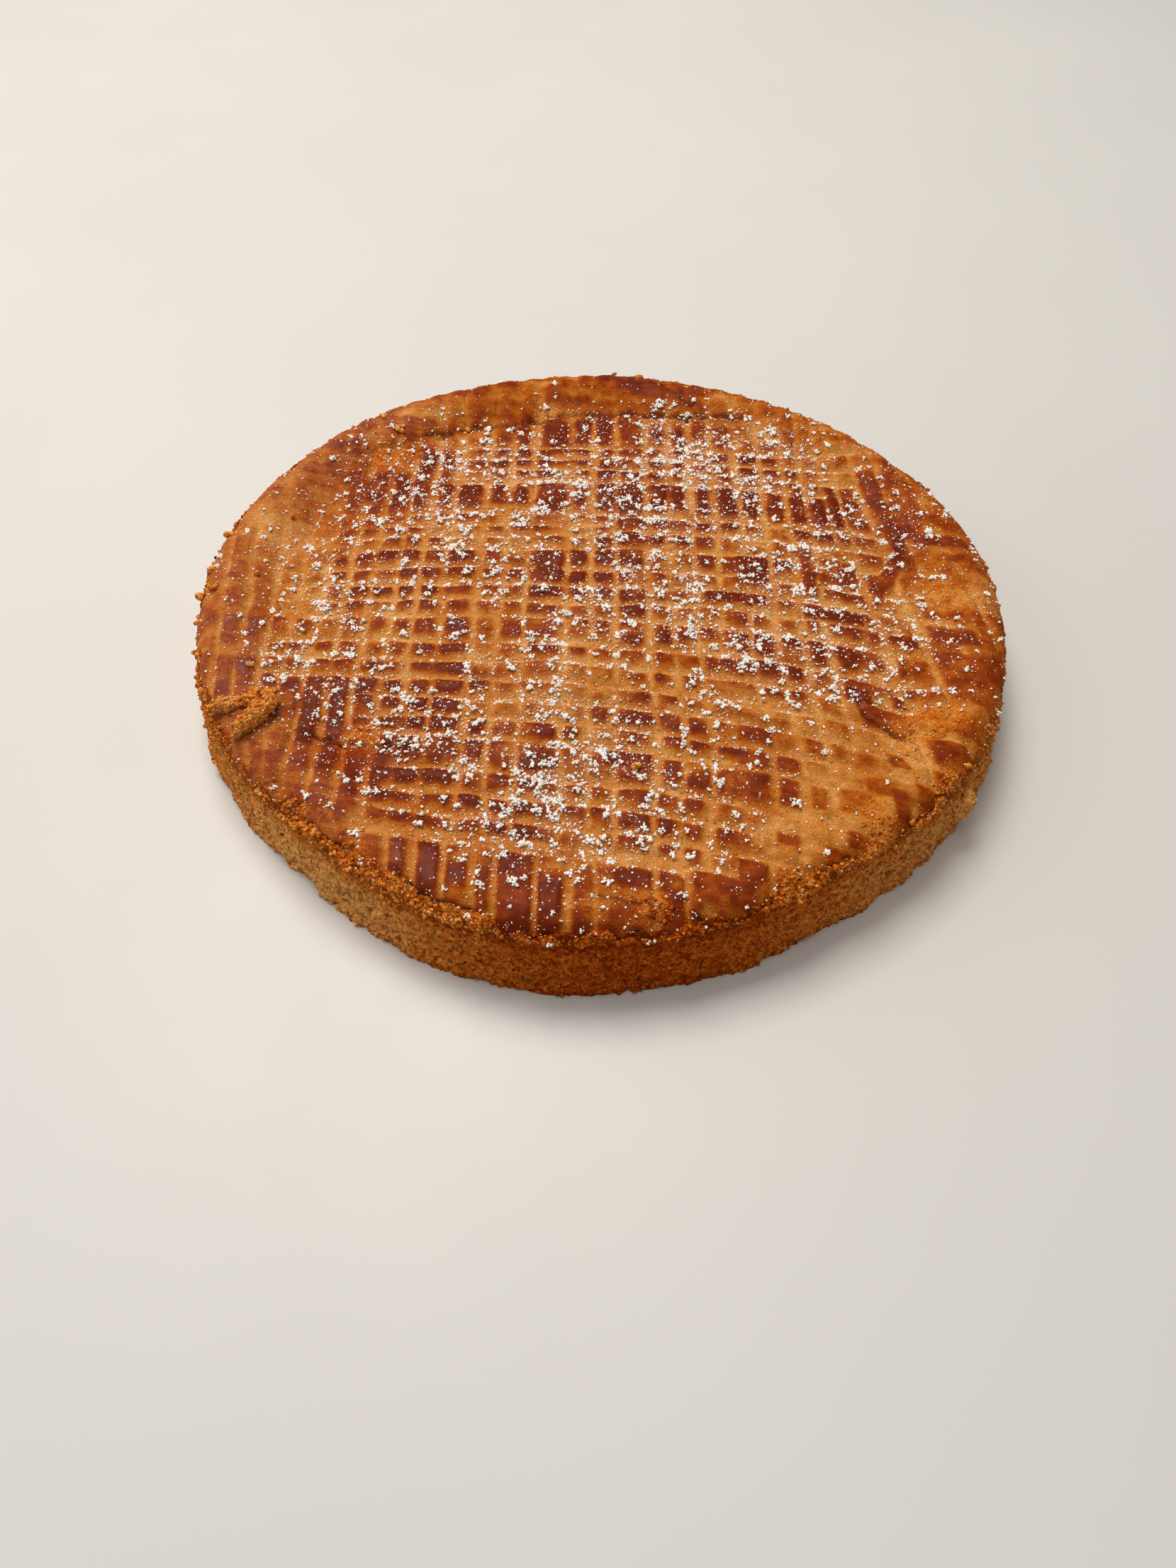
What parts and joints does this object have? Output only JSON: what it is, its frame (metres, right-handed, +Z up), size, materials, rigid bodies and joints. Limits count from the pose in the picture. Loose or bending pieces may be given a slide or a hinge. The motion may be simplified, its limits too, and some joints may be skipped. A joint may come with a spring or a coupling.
{
  "type": "gateau basque",
  "caption": "Low round pastry cake with a raised rim, a browned top scored both ways with a fork, and a crumbly side.",
  "frame": {"origin": "middle of the flat base", "axes": "+Z up, +X to the right and +Y to the back, with the front of the cake as pictured at -Y"},
  "size_m": [0.2456, 0.231, 0.0316],
  "materials": {
    "pastry": "baked, matte crumb with a satin glaze on the raised crust"
  },
  "bodies": {
    "root": {"cake": "pastry"}
  },
  "joints": []
}
